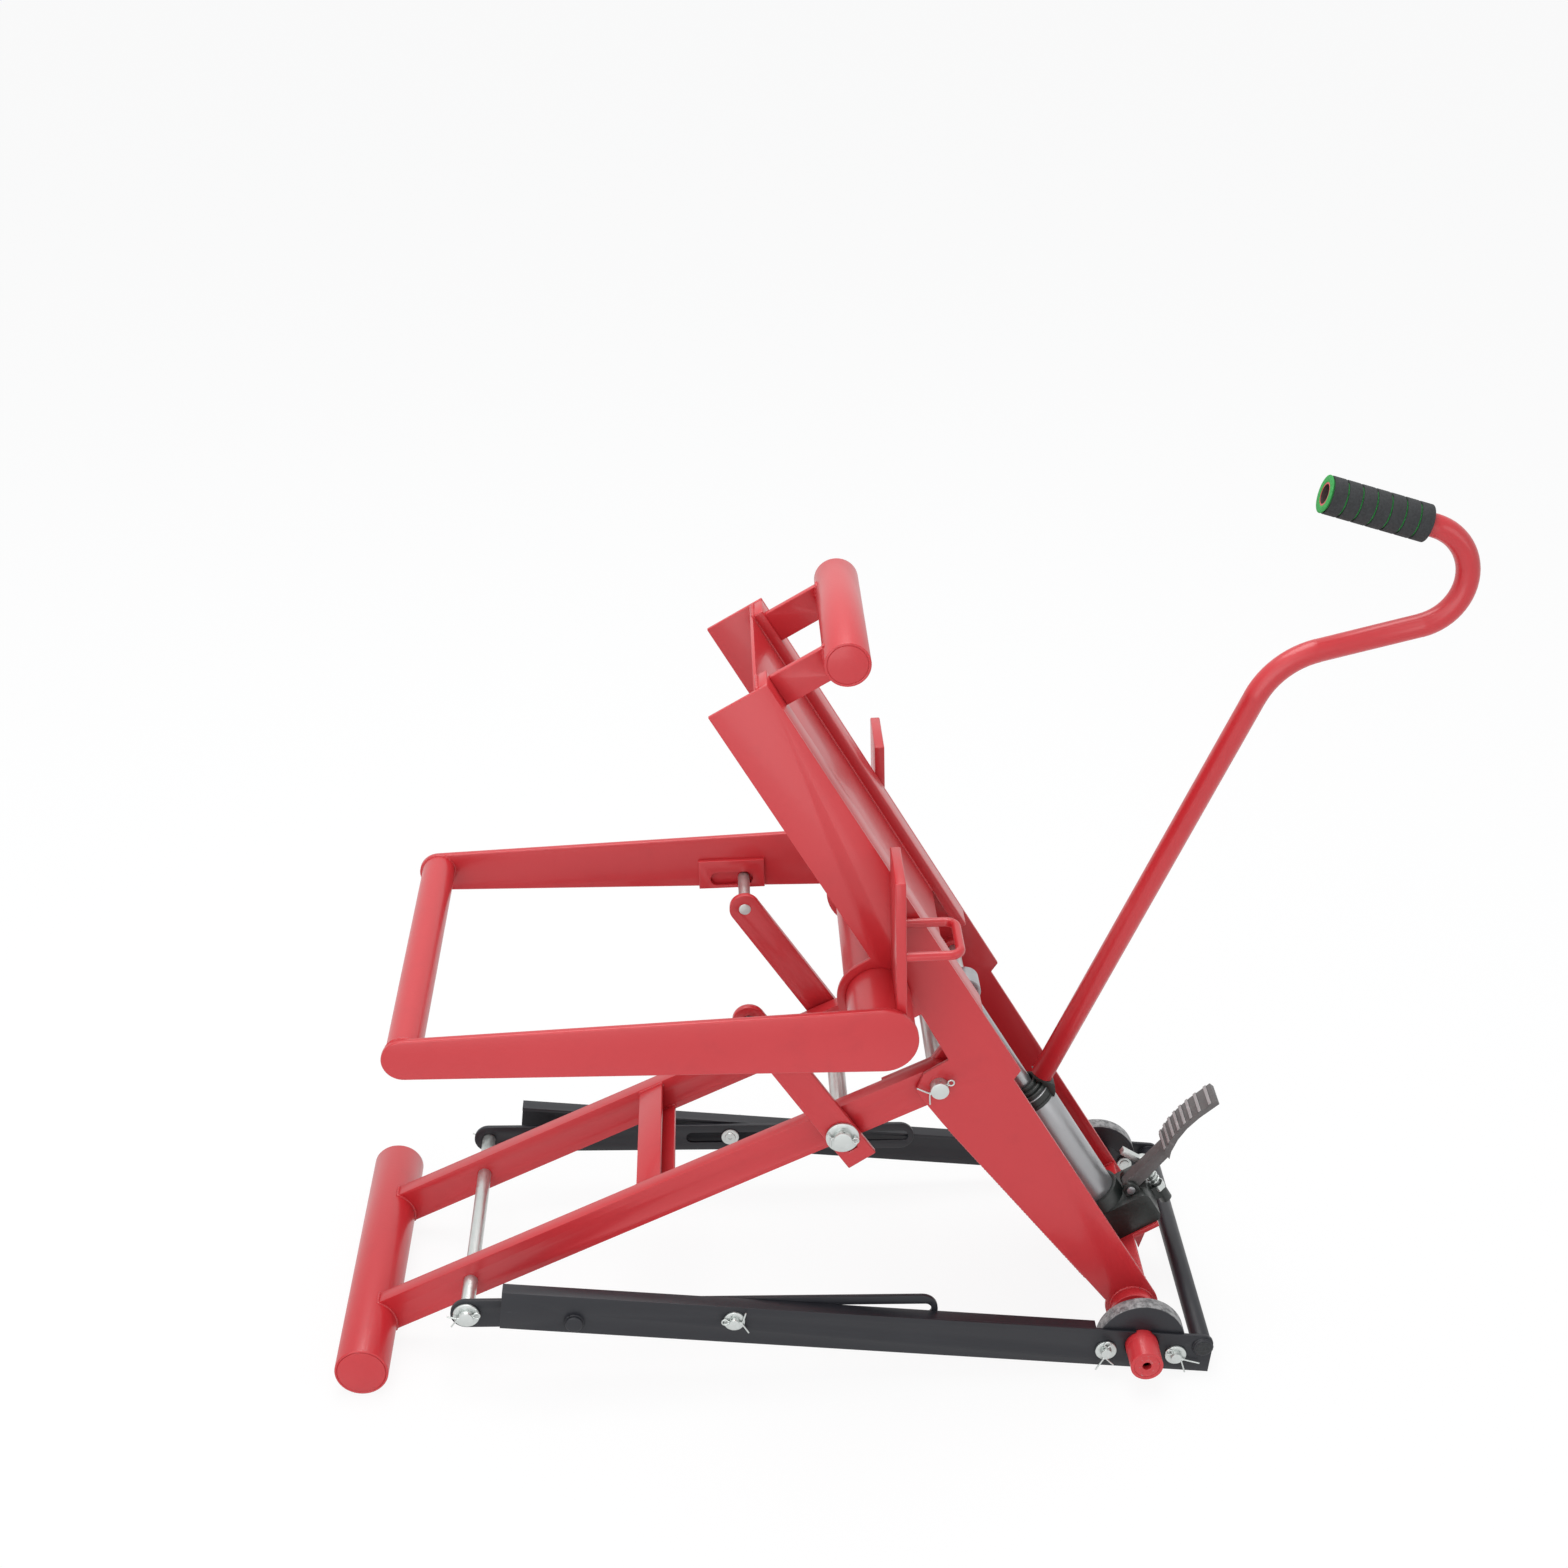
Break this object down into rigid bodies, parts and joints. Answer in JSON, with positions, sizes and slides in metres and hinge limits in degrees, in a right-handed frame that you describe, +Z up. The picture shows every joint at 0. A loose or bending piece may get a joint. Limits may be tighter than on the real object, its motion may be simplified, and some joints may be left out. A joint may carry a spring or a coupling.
{
  "type": "mower lift jack",
  "caption": "Foot-operated hydraulic lift jack: a folding arm and mast raise a level two-wheel cradle above slotted base rails, with a bent release handle.",
  "frame": {"origin": "on the floor under the middle of the whole outline, in the raised position", "axes": "+X along the rails from the foot tube towards the pedal, +Y across the lift, +Z up"},
  "size_m": [1.2416, 0.46, 1.0005],
  "materials": {
    "red_paint": "gloss",
    "black_paint": "satin",
    "zinc": "satin",
    "bare_steel": "satin",
    "cast_grey": "matte",
    "foam_black": "matte",
    "foam_green": "matte"
  },
  "bodies": {
    "base": {"rail_left": "black_paint", "rail_right": "black_paint", "rear_cross_bar": "black_paint", "axle_guard_left": "black_paint", "axle_guard_right": "black_paint", "guard_pins": "zinc", "rail_pins": "zinc", "rail_studs": "black_paint", "base_washers": "zinc", "base_cotters": "zinc"},
    "mast": {"mast_plate_left": "red_paint", "mast_plate_right": "red_paint", "mast_back_plate": "red_paint", "face_rails": "red_paint", "mast_web": "red_paint", "top_cross_tube": "red_paint", "top_tube_caps": "red_paint", "top_lugs": "red_paint", "axle_tube": "red_paint", "axle_plugs": "red_paint", "axle_collars": "red_paint", "pump_bracket": "red_paint", "pivot_rod": "zinc", "pivot_cotters": "zinc", "ram_cylinder": "bare_steel", "gland_nut": "cast_grey", "pump_block": "cast_grey", "pedal_pin": "bare_steel", "valve_body": "cast_grey", "return_spring": "bare_steel"},
    "arms": {"foot_tube": "red_paint", "foot_caps": "red_paint", "arm_left": "red_paint", "arm_right": "red_paint", "cross_channel": "red_paint", "front_rod": "zinc", "link_rod": "zinc", "arm_washers": "zinc", "arm_cotters": "zinc", "tail_lugs": "red_paint", "thrust_pin": "zinc"},
    "tie_bars": {"tie_bar_left": "black_paint", "tie_bar_right": "black_paint"},
    "cradle": {"cradle_bar_left": "red_paint", "cradle_bar_right": "red_paint", "cradle_front_tube": "red_paint", "cradle_rear_tube": "red_paint", "wheel_stops": "red_paint", "strap_loop": "red_paint", "link_guides": "red_paint"},
    "level_links": {"level_link_left": "red_paint", "level_link_right": "red_paint", "link_pins": "zinc"},
    "piston": {"piston_rod": "bare_steel"},
    "pedal": {"foot_pedal": "cast_grey"},
    "plunger": {"pump_plunger": "zinc"},
    "handle": {"handle_tube": "red_paint", "valve_spindle": "cast_grey", "grip_core": "foam_green", "grip_sleeves": "foam_black"}
  },
  "joints": [
    {"name": "mast_fold", "type": "hinge", "parent": "base", "child": "mast", "pos_m": [0.28579, 0, 0.039], "axis": [0, -1, 0], "range_deg": [0, 39]},
    {"name": "arm_fold", "type": "hinge", "parent": "mast", "child": "arms", "pos_m": [0.05479, 0, 0.34253], "axis": [0, -1, 0], "range_deg": [-56.2, 0]},
    {"name": "tie_swing", "type": "hinge", "parent": "arms", "child": "tie_bars", "pos_m": [-0.47267, 0, 0.08722], "axis": [0, -1, 0], "range_deg": [0, 22.52]},
    {"name": "cradle_level", "type": "hinge", "parent": "mast", "child": "cradle", "pos_m": [-0.01408, 0, 0.45806], "axis": [0, -1, 0], "range_deg": [-39, 0]},
    {"name": "link_swing", "type": "hinge", "parent": "arms", "child": "level_links", "pos_m": [-0.05151, 0, 0.28441], "axis": [0, -1, 0], "range_deg": [0, 58.5]},
    {"name": "piston_slide", "type": "slide", "parent": "mast", "child": "piston", "axis": [-0.512, 0, 0.859], "range_m": [-0.0588, 0]},
    {"name": "pedal_press", "type": "hinge", "parent": "mast", "child": "pedal", "pos_m": [0.29531, 0, 0.12849], "axis": [0, 1, 0], "range_deg": [0, 28], "stiffness_Nm_per_rad": 3, "springref_deg": -34.38, "deforming": ["return_spring"]},
    {"name": "plunger_slide", "type": "slide", "parent": "mast", "child": "plunger", "axis": [0.512, 0, -0.859], "range_m": [0, 0.012]},
    {"name": "handle_turn", "type": "hinge", "parent": "mast", "child": "handle", "pos_m": [0.18579, 0, 0.27824], "axis": [0.4031, 0, 0.9152], "range_deg": [0, 90]}
  ],
  "couplings": [
    {"joint": "arm_fold", "follows": "mast_fold", "ratio": -1.44},
    {"joint": "tie_swing", "follows": "mast_fold", "ratio": 0.5775},
    {"joint": "cradle_level", "follows": "mast_fold", "ratio": -1},
    {"joint": "link_swing", "follows": "mast_fold", "ratio": 1.5},
    {"joint": "piston_slide", "follows": "mast_fold", "m_per_rad": -0.0862},
    {"joint": "plunger_slide", "follows": "pedal_press", "m_per_rad": 0.0245}
  ]
}
